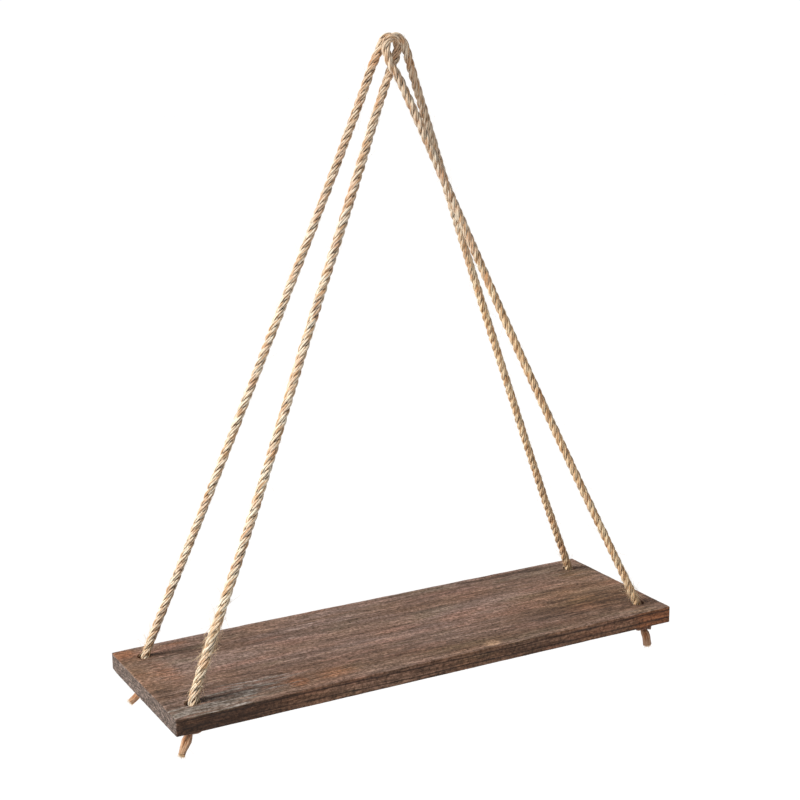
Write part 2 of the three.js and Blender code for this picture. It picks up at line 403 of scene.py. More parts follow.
def laid_rope(name, path, cuts, brownness_and_shade, joint_shade_depth, front_swell, seed):
    """Three strands a third of a turn apart, as one mesh. One value on it is a painted shade, partly dirt:
    0 on the crests and largest deep in the joints. Another is how brown the jute is: it grows down the legs
    to one share, and in the knots and the cut ends to the second, most of all just under the plank; there it
    is partly a painted shade under the plank."""
    turns = 2 * np.pi * np.arange(STRANDS) / STRANDS
    strands = [strand_grid(path, turn, cuts, front_swell, seed + 10 * k) for k, turn in enumerate(turns)]
    grid = np.stack([g for g, _ in strands])
    joint_shade_and_dirt = np.stack([h for _, h in strands]).ravel()
    points, quads, triangles, uv = closed_tubes(grid, lengths_along(path))
    # The painted joint shade, partly dirt, scaled for each rope; the end caps get a little of it.
    joint_shade_and_dirt = joint_shade_depth * np.concatenate([joint_shade_and_dirt, np.full(2 * STRANDS, 0.3)])
    leg, knot = brownness_and_shade
    leg = leg * eased(-points[:, 2], 60, 300)
    depth = UNDERSIDE - points[:, 2]
    # In the knots and cut ends the jute is a redder tan and also carries a painted shade, as they hang under
    # the plank.
    brown_and_shade = leg + (knot - leg) * eased(depth, -THICKNESS, 4)
    # Painted shade just under the plank: the rope there is browner still, most from 4 to 10 mm below it,
    # fading out by 15 mm.
    brown_and_shade = brown_and_shade + 0.7 * eased(depth, 0, 4) * eased(-depth, -15, -10)
    piece = make_mesh(name, points, quads, triangles, uv, {"joint_shade_and_dirt": joint_shade_and_dirt, "brown_and_shade": brown_and_shade})
    print(name, "has", 2 * len(quads) + len(triangles), "triangles")
    return piece


# The last share of the browning is partly painted shade under the plank; the joint depth scales the painted
# joint shade.
left_rope = laid_rope(
    "left_rope", left_path, cuts=((0.98, 1.1), (0.88, 1.35)), brownness_and_shade=(0.12, 0.95), joint_shade_depth=1.0,
    front_swell=FRONT_LEG_SWELL, seed=21,
)
right_rope = laid_rope(
    "right_rope", right_path, cuts=((1.0, 1.0), (1.3, 1.25)), brownness_and_shade=(0.5, 1.15), joint_shade_depth=0.86,
    front_swell=0.0, seed=57,
)

# %% [markdown]
# ## Loose fibres
#
# Jute is hairy: fine fibres leave the yarns, follow the rope for a while and stand off it. A hair system
# would make them, but it isn't kept in an exported mesh. Here each fibre is a thin three-sided tube on
# its own short arc, thousands of them in one mesh. They stand closest at the cut ends, which fray, and
# there are more of them just above the plank, where the rope is rubbed.

# %% A batch of hairs
FIBRE_RINGS = 6
FIBRE_SIDES = 3


def fibre_tubes(start, heading, lift, length, rise, bend, thickness, seed):
    """A batch of hairs. Each leaves its start along its heading, rises along its lift slowly at first and
    then faster, and swings sideways. Its section is a triangle that narrows to the tip."""
    random = np.random.default_rng(seed)
    t = np.linspace(0, 1, FIBRE_RINGS)[None, :, None]
    side = unit(np.cross(heading, lift))
    swing = (bend * random.normal(0, 1, len(start)))[:, None, None]
    middle = start[:, None] + heading[:, None] * (length[:, None, None] * t)
    middle = middle + lift[:, None] * (rise[:, None, None] * t**1.6) + side[:, None] * swing * t**2
    angle = 2 * np.pi * np.arange(FIBRE_SIDES) / FIBRE_SIDES
    width = (thickness[:, None, None] * (1 - 0.55 * t))[..., None]
    ring = lift[:, None, None] * np.cos(angle)[:, None] + side[:, None, None] * np.sin(angle)[:, None]
    return middle[:, :, None] + ring * width


print("each fibre is a tube of", FIBRE_RINGS, "rings with", FIBRE_SIDES, "sides")

# %% Hairs and tufts on each rope
FEWER_UNDER_PLANK = 0.45
MORE_WHERE_RUBBED = 4.0
HAIRS_REACH = (2.4, 3.15)
TUFT_FIBRES = 160
TUFT_RADIUS = 2.8


def loose_fibres(name, path, count, front_zone, back_zone, seed):
    """Hairs over the whole rope, more of them between two heights on the front leg and on the back leg,
    where it is rubbed, and a tuft at each cut end."""
    random = np.random.default_rng(seed)
    tangent, across, over = carried_directions(path)
    z = path[:, 2]
    weight = np.where(z < BOARD_TOP, FEWER_UNDER_PLANK, 1.0)
    in_front = (z > front_zone[0]) & (z < front_zone[1]) & (path[:, 1] < 0)
    behind = (z > back_zone[0]) & (z < back_zone[1]) & (path[:, 1] > 0)
    rubbed = in_front | behind
    weight = weight + MORE_WHERE_RUBBED * rubbed
    weight = weight * np.gradient(lengths_along(path))
    at = random.choice(len(path), count, p=weight / weight.sum())
    angle = random.uniform(0, 2 * np.pi, count)
    lift = np.cos(angle)[:, None] * across[at] + np.sin(angle)[:, None] * over[at]
    way = np.where(random.random(count) < 0.5, -1.0, 1.0)[:, None] * tangent[at]
    twist = np.cross(tangent[at], lift)
    heading = unit(way + twist * random.normal(0, 0.45, count)[:, None])
    start = path[at] + lift * (rope_size(z[at]) * random.uniform(*HAIRS_REACH, count))[:, None]
    rubbed = rubbed[at]
    long = random.random(count) < np.where(rubbed, 0.34, 0.10)
    length = np.where(long, random.uniform(7, 17, count), random.uniform(2.5, 7, count))
    rise = np.where(long, random.uniform(1.0, 4.2, count), random.uniform(0.4, 1.4, count))
    rise = rise * np.where(z[at] < BOARD_TOP, 0.6, 1.0)
    bend = np.where(long, 2.2, 0.8)
    thickness = random.uniform(0.035, 0.075, count) * np.where(long & rubbed, 2.0, 1.0)
    hairs = [fibre_tubes(start, heading, lift, length, rise, bend, thickness, seed + 1)]

    for end, way in ((0, -1.0), (-1, 1.0)):
        angle = random.uniform(0, 2 * np.pi, TUFT_FIBRES)
        reach = np.sqrt(random.random(TUFT_FIBRES)) * TUFT_RADIUS * SIZE_IN_TAIL
        lift = np.cos(angle)[:, None] * across[end] + np.sin(angle)[:, None] * over[end]
        heading = unit(way * tangent[end] + lift * (0.10 * reach)[:, None])
        start = path[end] - way * tangent[end] * 0.6 + lift * reach[:, None]
        length = random.uniform(0.9, 2.6, TUFT_FIBRES)
        thickness = random.uniform(0.06, 0.13, TUFT_FIBRES)
        hairs.append(fibre_tubes(start, heading, lift, length, 0.25 * reach, 0.3, thickness, seed + 2 + end))
    points, quads, triangles, _ = closed_tubes(np.concatenate(hairs))
    print(name, "has", len(points) // (FIBRE_RINGS * FIBRE_SIDES + 2), "fibres")
    return make_mesh(name, points, quads, triangles)


left_fibres = loose_fibres(
    "left_rope_fibres", left_path, count=2600, front_zone=(-470, -405), back_zone=(-476, -462), seed=301,
)
right_fibres = loose_fibres(
    "right_rope_fibres", right_path, count=2200, front_zone=(-475, -455), back_zone=(-476, -466), seed=402,
)

# %% [markdown]
# ## What the ropes are
#
# The ropes and their fibres hang from the same body as the plank, and the measured model's ropes are hidden.
# Each leaves the plank at its back hole and ends in the knot and the cut end under its front hole.

for piece, fibres, path, node, hole_x in (
    (left_rope, left_fibres, left_path, "rope_left", LEFT_HOLE_X),
    (right_rope, right_fibres, right_path, "rope_right", RIGHT_HOLE_X),
):
    for part in (piece, fibres):
        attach(part, "root")
    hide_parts(node)

# %% [markdown]
# ## Jute
#
# Jute is a straw-coloured bast fibre. A flat colour would look like plastic: the real thing is streaked
# along each yarn and has darker and redder lengths. The joints between the strands and the yarns carry a
# painted shade, partly dirt. These ropes are also greyer near the nail, golden in the legs and brown in the
# knots, where the brown is partly a redder tan and partly a painted shade under the plank. The streaks are
# read from the UV map, which follows the yarns, and the painted joint shade and the browning from values
# stored on the mesh.

# %% Small helpers for materials


def colour(red, green, blue):
    """A colour given 0 to 255 a channel, as the linear values that a shader mixes."""
    c = np.array([red, green, blue]) / 255
    linear = np.where(c <= 0.04045, c / 12.92, ((c + 0.055) / 1.055) ** 2.4)
    return (*linear.tolist(), 1.0)


def new_material(name):
    """An empty node material and its main shader."""
    material = bpy.data.materials.new(name)
    material.use_nodes = True
    return material, material.node_tree.nodes["Principled BSDF"]


def add(material, kind, inputs=None, **settings):
    """One shader node, in a material or in the sky. An input is linked where it is given another node's
    output, and typed in otherwise."""
    node = material.node_tree.nodes.new("ShaderNode" + kind)
    for key, value in settings.items():
        setattr(node, key, value)
    for key, value in (inputs or {}).items():
        if isinstance(value, bpy.types.NodeSocket):
            material.node_tree.links.new(value, node.inputs[key])
        else:
            node.inputs[key].default_value = value
    return node


def stretched(material, vector, scale, shift=(0, 0, 0)):
    """The same coordinates, scaled along each axis and shifted."""
    return add(material, "Mapping", {"Vector": vector, "Scale": scale, "Location": shift}).outputs[0]


def cloudy(material, vector, detail=3.0, roughness=0.55, distortion=0.0):
    """Noise from about 0.25 to 0.75."""
    inputs = {"Vector": vector, "Scale": 1.0, "Detail": detail, "Roughness": roughness,
              "Distortion": distortion}
    return add(material, "TexNoise", inputs).outputs[0]


def spread(material, value, low, high, to_low=0.0, to_high=1.0):
    """A smooth rise from to_low at low to to_high at high."""
    inputs = {"Value": value, "From Min": low, "From Max": high, "To Min": to_low, "To Max": to_high}
    return add(material, "MapRange", inputs, interpolation_type="SMOOTHSTEP").outputs[0]


def sums(material, operation, a, b):
    """One step of arithmetic on two values."""
    return add(material, "Math", {0: a, 1: b}, operation=operation).outputs[0]


def blended(material, share, a, b, how="MIX"):
    """Two colours mixed by a share."""
    return add(material, "Mix", {0: share, 6: a, 7: b}, data_type="RGBA", blend_type=how).outputs[2]


def dyed(material, share, base, dye):
    """A colour multiplied by a dye, by a share."""
    return blended(material, share, base, dye, "MULTIPLY")


print("a straw colour as a shader mixes it:", np.round(colour(206, 168, 128), 3))

# %% The patterns on a yarn
jute, jute_shader = new_material("jute")
on_yarn = add(jute, "UVMap", uv_map="UVMap").outputs[0]
in_space = add(jute, "TexCoord").outputs["Object"]
# The jute's painted shade, partly dirt, deep in the joints between strands and yarns.
joint_shade_and_dirt = add(jute, "Attribute", attribute_name="joint_shade_and_dirt").outputs["Fac"]
# How brown the jute is; in the knots and cut ends it is partly painted shade under the plank.
brown_and_shade = add(jute, "Attribute", attribute_name="brown_and_shade").outputs["Fac"]

yarns = cloudy(jute, stretched(jute, on_yarn, (7, 0.11, 1)), detail=2)
threads = cloudy(jute, stretched(jute, on_yarn, (30, 0.2, 1)), detail=3)
wisps = cloudy(jute, stretched(jute, on_yarn, (95, 0.5, 1)), detail=2)
lengths = cloudy(jute, stretched(jute, in_space, (46, 46, 46)), detail=2)
reds = cloudy(jute, stretched(jute, in_space, (75, 75, 75), (3, 1, 7)), detail=3)
patchy = cloudy(jute, stretched(jute, in_space, (170, 170, 170), (1, 4, 2)), detail=2)
print("patterns on the jute so far:", len(jute.node_tree.nodes), "nodes")

# %% The jute's colour
straw = blended(jute, spread(jute, yarns, 0.36, 0.60), colour(206, 168, 128), colour(255, 247, 228))
straw = blended(jute, spread(jute, threads, 0.30, 0.50, 0.5, 0.0), straw, colour(170, 128, 88))
straw = blended(jute, spread(jute, lengths, 0.40, 0.7, 0.0, 0.25), straw, colour(228, 191, 149))
reddish = sums(jute, "MULTIPLY", spread(jute, reds, 0.48, 0.68), 0.3)
straw = blended(jute, reddish, straw, colour(214, 154, 116))
straw = blended(jute, spread(jute, wisps, 0.58, 0.74, 0.0, 0.6), straw, colour(140, 102, 66))
height = add(jute, "SeparateXYZ", {0: in_space}).outputs[2]
straw = dyed(jute, spread(jute, height, -0.22, -0.02, 0.0, 0.8), straw, colour(228, 215, 204))
straw = dyed(jute, spread(jute, brown_and_shade, 0.0, 0.4), straw, colour(255, 240, 216))
# Browner legs and knots; in the knots partly painted shade under the plank.
straw = dyed(jute, spread(jute, brown_and_shade, 0.3, 1.1), straw, colour(186, 163, 158))
# Painted shade just under the plank: the knots and cut ends there darken most.
straw = dyed(jute, spread(jute, brown_and_shade, 1.1, 1.8), straw, colour(172, 150, 134))
# Painted shade, partly dirt, in the joints, made patchy along the rope, down to a dark brown.
patchy_joint_shade = sums(jute, "ADD", joint_shade_and_dirt, spread(jute, patchy, 0.3, 0.7, -0.14, 0.12))
straw = blended(jute, spread(jute, patchy_joint_shade, 0.26, 0.62, 0.0, 0.95), straw, colour(56, 32, 17))
jute.node_tree.links.new(straw, jute_shader.inputs["Base Color"])
print("the jute's colour takes", len(jute.node_tree.nodes), "nodes")

# %% The jute's surface
relief = sums(jute, "ADD", threads, sums(jute, "MULTIPLY", wisps, 0.8))
bump = add(jute, "Bump", {"Strength": 1.0, "Distance": 0.0004, "Height": relief}).outputs[0]
jute.node_tree.links.new(bump, jute_shader.inputs["Normal"])
jute_shader.inputs["Roughness"].default_value = 0.88
jute_shader.inputs["Specular IOR Level"].default_value = 0.25
jute_shader.inputs["Sheen Weight"].default_value = 0.25
jute_shader.inputs["Sheen Roughness"].default_value = 0.5
for piece in (left_rope, right_rope):
    piece.data.materials.append(jute)
print("jute on", left_rope.name, "and", right_rope.name)

# %% Loose fibres' own jute
fibre_jute, fibre_shader = new_material("loose jute fibre")
fibre_place = add(fibre_jute, "TexCoord").outputs["Object"]
fibre_mix = cloudy(fibre_jute, stretched(fibre_jute, fibre_place, (420, 420, 420)), detail=2)
fibre_share = spread(fibre_jute, fibre_mix, 0.35, 0.65)
fibre_colour = blended(fibre_jute, fibre_share, colour(200, 164, 120), colour(240, 222, 190))
fibre_jute.node_tree.links.new(fibre_colour, fibre_shader.inputs["Base Color"])
fibre_shader.inputs["Roughness"].default_value = 0.8
fibre_shader.inputs["Specular IOR Level"].default_value = 0.3

for piece in (left_fibres, right_fibres):
    piece.data.materials.append(fibre_jute)
print("fibre jute on", left_fibres.name, "and", right_fibres.name)

# %% [markdown]
# ## The plank
#
# The plank is one sawn board, brushed and stained, with worn edges and a drilled hole near each corner. A
# box with a Boolean for the holes would do for the shape, but it leaves long thin faces that can't carry
# any wear. Here the plank is a fine sheet with round holes, used once for the top and once, turned over,
# for the underside, with walls carried round its rims. Then every point is moved a little by the wear at
# its place.

# %% Grid lines across the plank
EASE = 0.9
CORNER_RADIUS = 1.6
HOLE_RADIUS = 5.5
RIM_BREAK = 0.7
HALF_FIELD = 9.0
FIELD_CELLS = 16
RING_SHARES = (0.3, 0.55, 0.75, 0.9, 1.0)
TINY = 1e-6


def grid_lines(half, hole, coarse, step):
    """Grid lines from the middle to one rim: coarse at first, an even number across the field round a hole,
    and fine at the rim."""
    inner, outer = hole - HALF_FIELD, hole + HALF_FIELD
    corner = half - (CORNER_RADIUS - EASE)
    return np.concatenate([
        np.linspace(0, inner, int(inner / coarse) + 1),
        np.linspace(inner, outer, FIELD_CELLS + 1)[1:],
        np.linspace(outer, corner, int((corner - outer) / step) + 1)[1:],
        np.linspace(corner, half, 4)[1:],
    ])


to_left = grid_lines(HALF_LENGTH - EASE, -LEFT_HOLE_X, coarse=3.5, step=2.0)
to_right = grid_lines(HALF_LENGTH - EASE, RIGHT_HOLE_X, coarse=3.5, step=2.0)
to_side = grid_lines(HALF_WIDTH - EASE, HOLE_Y, coarse=1.1, step=1.0)
print("grid lines:", len(to_left) + len(to_right) - 1, "along and", 2 * len(to_side) - 1, "across")

# %% A flat sheet with four round holes


def sheet_with_holes():
    """Points, faces and rims of the sheet. A square field of the grid round each hole is taken out, and
    rings that change from the field's square edge to the hole's circle take its place."""
    x = np.concatenate([-to_left[:0:-1], to_right])
    y = np.concatenate([-to_side[:0:-1], to_side])
    points = np.stack(np.meshgrid(x, y), -1).reshape(-1, 2)
    index = np.arange(len(points)).reshape(len(y), len(x))
    quads = np.stack([index[:-1, :-1], index[:-1, 1:], index[1:, 1:], index[1:, :-1]], -1).reshape(-1, 4)
    middle = points[quads].mean(axis=1)
    hole_x = np.where(middle[:, 0] < 0, LEFT_HOLE_X, RIGHT_HOLE_X)
    from_hole = np.column_stack([middle[:, 0] - hole_x, np.abs(middle[:, 1]) - HOLE_Y])
    in_field = np.abs(from_hole).max(axis=1) < HALF_FIELD
    layers, faces, rims = [points], [quads[~in_field]], []
    total = len(points)
    for cx in (LEFT_HOLE_X, RIGHT_HOLE_X):
        for cy in (-HOLE_Y, HOLE_Y):
            column = np.searchsorted(x, cx - HALF_FIELD - TINY)
            row = np.searchsorted(y, cy - HALF_FIELD - TINY)
            block = index[row:row + FIELD_CELLS + 1, column:column + FIELD_CELLS + 1]
            ring = np.concatenate([block[0, :-1], block[:-1, -1], block[-1, :0:-1], block[:0:-1, 0]])
            square = points[ring]
            circle = np.array([cx, cy]) + unit(square - [cx, cy]) * (HOLE_RADIUS + RIM_BREAK)
            for share in RING_SHARES:
                layers.append(square + (circle - square) * share)
                inner = total + np.arange(len(ring))
                faces.append(np.stack([ring, np.roll(ring, -1), np.roll(inner, -1), inner], -1))
                ring, total = inner, total + len(inner)
            rims.append(ring[::-1])
    outer = np.concatenate([index[0, :-1], index[:-1, -1], index[-1, :0:-1], index[:0:-1, 0]])
    return np.concatenate(layers), np.concatenate(faces), [outer, *rims]


def rounded_corners(points):
    """Squares at the sheet's corners become quarter discs: a point keeps its larger distance from the
    corner's centre, now as a true distance."""
    radius = CORNER_RADIUS - EASE
    centre = np.sign(points) * (np.array([HALF_LENGTH, HALF_WIDTH]) - EASE - radius)
    away = (points - centre) * np.sign(points)
    corner = (away > 1e-9).all(axis=1)
    reach = away.max(axis=1) / np.maximum(np.linalg.norm(away, axis=1), 1e-9)
    return np.where(corner[:, None], centre + (points - centre) * reach[:, None], points)


sheet_points, sheet_faces, rims = sheet_with_holes()
sheet_points = rounded_corners(sheet_points)
print("sheet:", len(sheet_faces), "faces and", len(rims), "rims")

# %% Walls round the rims
ROUND_POINTS = 5
OUTER_WALL_STEPS = 11
HOLE_WALL_STEPS = 4


def wall_profile(ease, straight):
    """Steps outwards and down from the top rim to the bottom rim: a quarter round, a straight fall, and
    another quarter round."""
    turn = np.linspace(0, np.pi / 2, ROUND_POINTS)
    out, down = ease * np.sin(turn), ease * (1 - np.cos(turn))
    fall = np.linspace(ease, THICKNESS - ease, straight + 1)[1:-1]
    out = np.concatenate([out, np.full(len(fall), ease), out[::-1]])
    down = np.concatenate([down, fall, THICKNESS - down[::-1]])
    return out[1:-1], down[1:-1]


def solid_plank():
    """The sheet as top and as underside, joined by a wall carried round each rim. A wall's points step away
    from the material, square to the rim."""
    used = np.unique(np.concatenate([sheet_faces.ravel(), *rims]))
    number = np.full(len(sheet_points), -1)
    number[used] = np.arange(len(used))
    flat, faces = sheet_points[used], number[sheet_faces]
    count = len(flat)
    layers = [np.column_stack([flat, np.full(count, BOARD_TOP)]),
              np.column_stack([flat, np.full(count, UNDERSIDE)])]
    quads, total = [faces, faces[:, ::-1] + count], 2 * count
    for k, rim in enumerate(rims):
        rim = number[rim]
        p = flat[rim]
        if k == 0:
            core = np.array([HALF_LENGTH, HALF_WIDTH]) - CORNER_RADIUS
            away = unit(p - np.clip(p, -core, core))
            out, down = wall_profile(EASE, OUTER_WALL_STEPS)
        else:
            centre = p.mean(axis=0)
            away = unit(centre - p)
            out, down = wall_profile(RIM_BREAK, HOLE_WALL_STEPS)
        above = rim
        for step, fall in zip(out, down):
            layers.append(np.column_stack([p + away * step, np.full(len(rim), BOARD_TOP - fall)]))
            below = total + np.arange(len(rim))
            quads.append(np.stack([above, below, np.roll(below, -1), np.roll(above, -1)], -1))
            above, total = below, total + len(rim)
        below = rim + count
        quads.append(np.stack([above, below, np.roll(below, -1), np.roll(above, -1)], -1))
    return np.concatenate(layers), np.concatenate(quads)


plank_points, plank_quads = solid_plank()
print("plank:", 2 * len(plank_quads), "triangles")

# %% [markdown]
# ## Wear
#
# Brushing takes the soft wood out between the harder lines, so the faces are furrowed along the grain.
# The edges are rubbed unevenly, the front edge has a weathered bevel near its left end, and the back left
# corner is knocked off. Each of these is a small move of the points, worked out from where they are.

# %% The worn shape
FURROW_DEPTH = 0.13
RUB_DEPTH = 0.42
CORNER_DEPTH = 1.2
BACK_EDGE_DEPTH = 0.7
SCRAPE_DEPTH = 0.15
SAWN_DEPTH = 0.16


def worn(points):
    """Each face sinks by furrows that are long along X and narrow across it; the nearer an edge, the more it
    sinks, unevenly; the front edge's left part and the back left corner sink most."""
    x, y, z = points.T
    side, end = HALF_WIDTH - np.abs(y), HALF_LENGTH - np.abs(x)
    edge = np.minimum(side, end)
    on_top, below = np.exp(-(BOARD_TOP - z) / 0.5), np.exp(-(z - UNDERSIDE) / 0.5)
    furrow = 0.5 + 0.5 * waves(x / 42, y / 2.6, 5) + 0.25 * waves(x / 15, y / 1.4, 6)
    furrow_under = 0.5 + 0.5 * waves(x / 36, y / 3.0, 8) + 0.25 * waves(x / 13, y / 1.5, 9)
    uneven = 0.55 + 0.45 * waves(x / 13 + y / 9, 0.0, 11) + 0.3 * waves(x / 3.4, y / 3.4, 12)
    rub = RUB_DEPTH * np.exp(-edge / 1.5) * np.clip(uneven, 0, 2)
    bevel = eased(-x, 105, 190) * np.exp(-((y + HALF_WIDTH) / 3.6) ** 2)
    bevel = bevel * (1.05 + 0.35 * waves(x / 7, y / 2, 13))
    corner = CORNER_DEPTH * np.exp(-np.hypot(x + HALF_LENGTH, y - HALF_WIDTH) / 8)
    back_edge = BACK_EDGE_DEPTH * eased(-x, 150, 222) * np.exp(-(HALF_WIDTH - y) / 2.5)
    sunk = z - on_top * (FURROW_DEPTH * furrow + rub + bevel + corner + back_edge)
    sunk = sunk + below * (FURROW_DEPTH * furrow_under + 0.8 * rub)

    long_face, end_face = np.exp(-side / 0.4), np.exp(-end / 0.4)
    scrape = 0.5 + 0.5 * waves(x / 26, z / 1.9, 15) + 0.3 * waves(x / 5, z / 1.3, 16)
    sawn = 0.5 + 0.5 * waves(y / 1.8 + z / 4, z / 2.2, 17)
    y = y - np.sign(y) * long_face * SCRAPE_DEPTH * scrape
    x = x - np.sign(x) * end_face * SAWN_DEPTH * sawn
    x = x + np.where(x < 0, corner * 0.9, 0.0)
    return np.column_stack([x, y, sunk])


worn_points = worn(plank_points)
print("plank worn by up to", round(float(np.abs(worn_points - plank_points).max()), 2), "mm")

# %% [markdown]
# ## Where the stain changes, and a painted shadow
#
# The stain has faded to grey at one corner, gone orange where it was rubbed, and stayed darkest near the
# holes and along the back. One dark patch, beside the front left hole, is a painted shadow of the rope.
# A painted image would hold this. Here each kind of change is a short table of soft oval patches, and
# every point of the mesh stores how much of each it has.

# %% Soft patches: middle x and y, half-length, half-width, all in mm, and strength


def patches(x, y, table):
    """The strongest of some soft ovals at each point: each is its strength times the bell curve of the
    distance from its middle, counted in half-lengths along X and half-widths along Y."""
    ovals = [s * np.exp(-((x - cx) / hx) ** 2 - ((y - cy) / hy) ** 2) for cx, cy, hx, hy, s in table]
    return np.max(ovals, axis=0)


GREYED = [
    (-200, -66, 44, 9, 1.0), (-165, -58, 42, 10, 0.7), (-158, -43, 42, 8, 0.75), (-60, 34, 50, 20, 0.2),
    (150, 55, 48, 8, 0.15), (-60, -16, 60, 3, 0.25), (195, 38, 34, 12, 0.25), (180, -68, 50, 4, 0.2),
]
REDDENED = [
    (-120, -57, 10, 10, 1.0), (-88, -56, 26, 14, 0.55), (-220, 66, 10, 12, 1.0), (-178, 63, 20, 6, 0.5),
    (-201, 12, 14, 30, 0.5), (-110, 64, 26, 6, 0.35), (205, 10, 12, 20, 0.2), (60, -30, 60, 8, 0.2),
]
# Darker stain, and one painted shadow: the patch at x -186, y -50 stands for the front left rope's shadow
# beside its hole.
DARKENED_AND_SHADOWED = [
    (158, 66, 50, 6, 1.0), (202, 52, 14, 9, 0.6), (193, -20, 12, 16, 0.6), (201, -42, 11, 14, 0.7),
    (165, -34, 70, 26, 0.55), (-80, 67, 110, 6, 0.4), (-100, 58, 70, 1.8, 0.5), (-186, -50, 50, 20, 0.6),
    (-218, -24, 12, 14, 0.5), (165, 8, 60, 12, 0.4), (60, -50, 120, 8, 0.3), (-30, 6, 90, 5, 0.25),
]
GOLDEN = [
    (180, -18, 60, 40, 1.0), (205, 30, 24, 22, 0.6), (-222, 20, 16, 60, 0.7), (-30, -60, 170, 14, 0.5),
]
PALE = [
    (50, -66, 8, 6, 1.0), (-50, -16, 70, 1.4, 0.5), (140, -22, 90, 1.3, 0.4), (-60, 53, 110, 1.6, 0.45),
    (190, -69, 30, 2, 0.3),
]
print("patches in each table:", [len(table) for table in (GREYED, REDDENED, DARKENED_AND_SHADOWED, GOLDEN, PALE)])

# %% Values for each point, and the finished plank
x, y, z = plank_points.T
top_side = (z > BOARD_TOP - 2).astype(float)
front_side = eased(-y, HALF_WIDTH - 1.0, HALF_WIDTH - 0.2) * (z < BOARD_TOP - EASE * 0.6)
front_dark = front_side * (0.2 + 0.8 * eased(-x, 80, 220))
front_red = front_side * eased(x, 165, 218) * 0.95
end_grain = eased(np.abs(x), HALF_LENGTH - 0.9, HALF_LENGTH - 0.15) * (z < BOARD_TOP - EASE * 0.5)
rim_dark = 0.55 * eased(-z, -UNDERSIDE - 1.4, -UNDERSIDE) + 0.5 * eased(y, HALF_WIDTH - 1.6, HALF_WIDTH)
# The third share holds the darker stain with the painted shadow of the front left rope, and the darker front
# and rims.
stain_and_shadow = np.column_stack([
    top_side * patches(x, y, GREYED),
    top_side * patches(x, y, REDDENED) + front_red,
    np.clip(top_side * patches(x, y, DARKENED_AND_SHADOWED) + front_dark + rim_dark * (1 - end_grain), 0, 1),
    end_grain,
])
pale, golden = top_side * patches(x, y, PALE), top_side * patches(x, y, GOLDEN)
plank = make_mesh("plank", worn_points, plank_quads, np.empty((0, 3), int),
                  attributes={"stain_and_shadow": stain_and_shadow, "pale": pale, "golden": golden, "front": front_side})
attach(plank, "root")
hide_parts("board")
print(plank.name, "has", len(plank.data.vertices), "points")

# %% [markdown]
# ## Stained wood
#
# The stain is a walnut brown over a pale, open wood. A photograph of wood could be laid on each face, but
# its lines would break at the edges. Here the texture is solid: it is worked out in three dimensions from
# the place in the plank, as real grain is, so the lines run over the edge from the top to the front, and
# the cut end shows their ends. Streaks are noise drawn out along X; growth rings circle an axis under the
# plank.

# %% The grain's patterns
GRAIN_DRIFT = 7.0
RING_AXIS_Y = 12.0
RING_AXIS_Z = -556.0
wood, wood_shader = new_material("stained wood")
place = add(wood, "TexCoord").outputs["Object"]
stain_and_shadow_here = add(wood, "Attribute", attribute_name="stain_and_shadow")
parts = add(wood, "SeparateColor", {0: stain_and_shadow_here.outputs["Color"]}).outputs
# The third share is darker stain, with the painted shadow of the front left rope beside its hole.
greyed, reddened, darkened_and_shadowed = parts[0], parts[1], parts[2]
end_here = stain_and_shadow_here.outputs["Alpha"]
pale_here = add(wood, "Attribute", attribute_name="pale").outputs["Fac"]
golden_here = add(wood, "Attribute", attribute_name="golden").outputs["Fac"]
front_here = add(wood, "Attribute", attribute_name="front").outputs["Fac"]

drift = add(wood, "TexNoise", {"Vector": stretched(wood, place, (7, 22, 22)), "Scale": 1.0, "Detail": 2.0})
sideways_drift = (0, GRAIN_DRIFT * MM, GRAIN_DRIFT * MM)
bent = add(wood, "VectorMath", {0: drift.outputs["Color"], 1: sideways_drift, 2: place},
           operation="MULTIPLY_ADD").outputs[0]
bands = cloudy(wood, stretched(wood, bent, (3.5, 46, 46)), detail=4, roughness=0.6)
streaks = cloudy(wood, stretched(wood, bent, (30, 400, 400)), detail=4, roughness=0.62)
mottle = cloudy(wood, stretched(wood, bent, (360, 440, 440), (4, 1, 6)), detail=4, roughness=0.75)
lines = cloudy(wood, stretched(wood, bent, (4, 190, 190), (3, 8, 1)), detail=3, roughness=0.65)
swirls = cloudy(wood, stretched(wood, bent, (26, 230, 230), (9, 3, 2)), detail=4, distortion=1.2)
hairlines = cloudy(wood, stretched(wood, bent, (60, 1300, 1300)), detail=3, roughness=0.6)
flecks = cloudy(wood, stretched(wood, bent, (80, 620, 620), (2, 5, 1)), detail=2)
blotches = cloudy(wood, stretched(wood, bent, (13, 34, 34), (5, 2, 8)), detail=3)
ring_place = stretched(wood, bent, (0.05, 1, 1), (0, -RING_AXIS_Y * MM, -RING_AXIS_Z * MM))
rings = add(wood, "TexWave", {"Vector": ring_place, "Scale": 72.0, "Distortion": 2.0, "Detail": 3.0,
                              "Detail Scale": 0.3, "Detail Roughness": 0.6},
            wave_type="RINGS", rings_direction="X", wave_profile="SIN").outputs["Fac"]
late_wood = spread(wood, rings, 0.66, 0.98)
print("patterns in the wood so far:", len(wood.node_tree.nodes), "nodes")

# %% The stain's broad tones
tone = blended(wood, spread(wood, bands, 0.32, 0.68), colour(110, 85, 71), colour(138, 114, 103))
tone = blended(wood, spread(wood, blotches, 0.40, 0.66, 0.0, 0.5), tone, colour(130, 99, 78))
russet = cloudy(wood, stretched(wood, bent, (14, 60, 60), (7, 7, 3)), detail=2)
tone = blended(wood, spread(wood, russet, 0.50, 0.70, 0.0, 0.35), tone, colour(142, 100, 84))
tone = blended(wood, spread(wood, russet, 0.30, 0.46, 0.4, 0.0), tone, colour(108, 95, 76))
tone = dyed(wood, golden_here, tone, colour(255, 241, 208))
print("broad tones take", len(wood.node_tree.nodes), "nodes")

